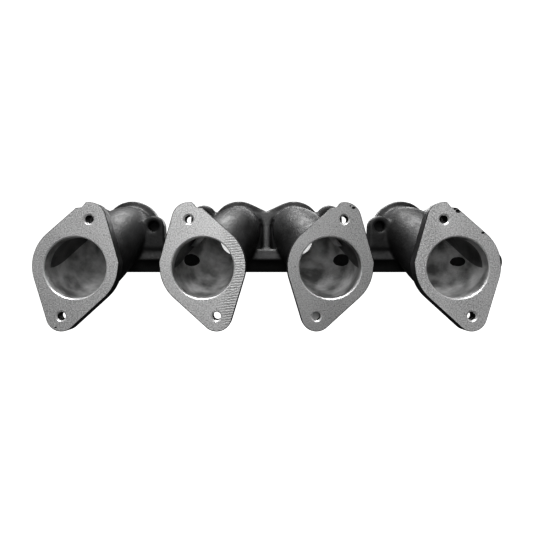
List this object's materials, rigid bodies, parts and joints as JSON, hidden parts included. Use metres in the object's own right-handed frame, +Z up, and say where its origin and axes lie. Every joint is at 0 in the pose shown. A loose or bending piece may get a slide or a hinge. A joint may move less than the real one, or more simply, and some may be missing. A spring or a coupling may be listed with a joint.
{
  "type": "exhaust manifold",
  "caption": "Cast exhaust manifold: a row of curved runners from one head flange, each ending in its own machined two-bolt outlet flange.",
  "frame": {"origin": "on the machined head face, midway between the two centre ports, at their height", "axes": "+X along the row of ports, +Y from the outlets towards the engine, +Z up"},
  "size_m": [0.3923, 0.094, 0.1172],
  "materials": {
    "cast_black": "satin black as cast",
    "machined_face": "milled, bare grey",
    "plug_steel": "dark oiled steel"
  },
  "bodies": {
    "root": {"head_flange": "cast_black", "lower_rail": "cast_black", "pad_left": "cast_black", "pad_centre": "cast_black", "pad_right": "cast_black", "centre_rib": "cast_black", "stud_boss_left": "cast_black", "stud_boss_right": "cast_black", "bracket_lug_left": "cast_black", "bracket_lug_right": "cast_black", "side_boss": "cast_black", "runner_1": "cast_black", "runner_2": "cast_black", "runner_3": "cast_black", "runner_4": "cast_black", "port_collar_1": "cast_black", "port_collar_2": "cast_black", "port_collar_3": "cast_black", "port_collar_4": "cast_black", "outlet_collar_1": "cast_black", "outlet_collar_2": "cast_black", "outlet_collar_3": "cast_black", "outlet_collar_4": "cast_black", "outlet_flange_1": "machined_face", "outlet_flange_2": "machined_face", "outlet_flange_3": "machined_face", "outlet_flange_4": "machined_face", "boss_plug": "plug_steel"}
  },
  "joints": []
}
